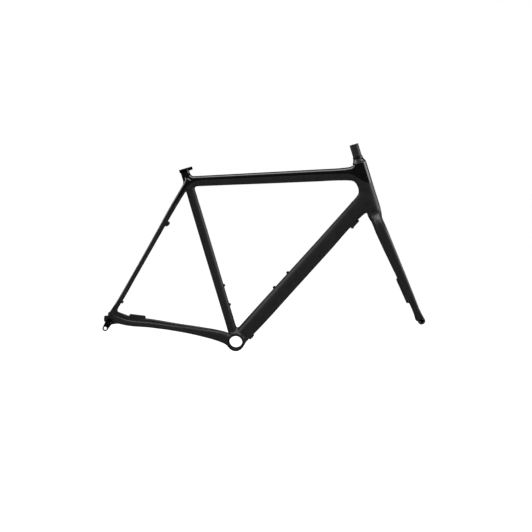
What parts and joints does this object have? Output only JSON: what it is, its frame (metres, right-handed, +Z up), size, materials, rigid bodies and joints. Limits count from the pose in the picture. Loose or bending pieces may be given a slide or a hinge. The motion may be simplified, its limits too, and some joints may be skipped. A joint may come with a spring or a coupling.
{
  "type": "bicycle frame",
  "caption": "Road bicycle frame for disc brakes with its fork turning in a headset, hollow thru-axles, seat collar, rear mech hanger and threaded bottle mounts.",
  "frame": {"origin": "centre of the bottom bracket, on the frame's mid-plane", "axes": "+X forward, +Y to the rider's left, +Z up; the drive side faces -Y"},
  "size_m": [1.0226, 0.1721, 0.6631],
  "materials": {
    "matte_paint": "satin",
    "gloss_paint": "gloss",
    "anodised": "satin",
    "bearing_steel": "polished",
    "bolt_steel": "satin",
    "black_plastic": "matte"
  },
  "bodies": {
    "frame": {"bottom_bracket_shell": "matte_paint", "brake_hose_guide": "black_plastic", "cable_guide": "black_plastic", "cable_guide_screw": "bolt_steel", "cable_port": "black_plastic", "cable_port_screw": "bolt_steel", "chainstay_left": "matte_paint", "chainstay_right": "matte_paint", "derailleur_hanger": "anodised", "down_tube": "matte_paint", "down_tube_lower_bottle_bolt": "bolt_steel", "down_tube_lower_bottle_insert": "anodised", "down_tube_upper_bottle_bolt": "bolt_steel", "down_tube_upper_bottle_insert": "anodised", "dropout_left": "matte_paint", "dropout_right": "matte_paint", "hanger_screw": "bolt_steel", "head_tube": "gloss_paint", "lower_bearing_outer_race": "bearing_steel", "rear_brake_mount": "matte_paint", "seat_collar": "anodised", "seat_collar_bolt": "bolt_steel", "seat_tube": "matte_paint", "seat_tube_lower_bottle_bolt": "bolt_steel", "seat_tube_lower_bottle_insert": "anodised", "seat_tube_upper_bottle_bolt": "bolt_steel", "seat_tube_upper_bottle_insert": "anodised", "seatstay_bridge": "gloss_paint", "seatstay_left": "gloss_paint", "seatstay_right": "gloss_paint", "top_tube": "gloss_paint", "upper_bearing_outer_race": "bearing_steel"},
    "fork": {"steerer_tube": "matte_paint", "fork_crown": "matte_paint", "fork_blade_left": "matte_paint", "fork_blade_right": "matte_paint", "fork_end_left": "matte_paint", "fork_end_right": "matte_paint", "front_brake_mount": "matte_paint", "crown_race": "bearing_steel", "lower_bearing_inner_race": "bearing_steel", "upper_bearing_inner_race": "bearing_steel", "compression_ring": "anodised", "headset_cover": "anodised"},
    "lower_balls": {"lower_bearing_balls": "bearing_steel"},
    "upper_balls": {"upper_bearing_balls": "bearing_steel"},
    "rear_axle": {"rear_axle": "anodised"},
    "front_axle": {"front_axle": "anodised"}
  },
  "joints": [
    {"name": "steering", "type": "hinge", "parent": "frame", "child": "fork", "pos_m": [0.5503, 0, 0.05929], "axis": [-0.2907, 0, 0.9568], "continuous": true},
    {"name": "lower_ball_orbit", "type": "hinge", "parent": "frame", "child": "lower_balls", "pos_m": [0.5503, 0, 0.05929], "axis": [-0.2907, 0, 0.9568], "continuous": true},
    {"name": "upper_ball_orbit", "type": "hinge", "parent": "frame", "child": "upper_balls", "pos_m": [0.5503, 0, 0.05929], "axis": [-0.2907, 0, 0.9568], "continuous": true},
    {"name": "rear_axle_draw", "type": "slide", "parent": "frame", "child": "rear_axle", "axis": [0, 1, 0], "range_m": [0, 0.17]},
    {"name": "front_axle_draw", "type": "slide", "parent": "fork", "child": "front_axle", "axis": [0, 1, 0], "range_m": [0, 0.13]}
  ],
  "couplings": [
    {"joint": "lower_ball_orbit", "follows": "steering", "ratio": 0.478},
    {"joint": "upper_ball_orbit", "follows": "steering", "ratio": 0.478}
  ]
}
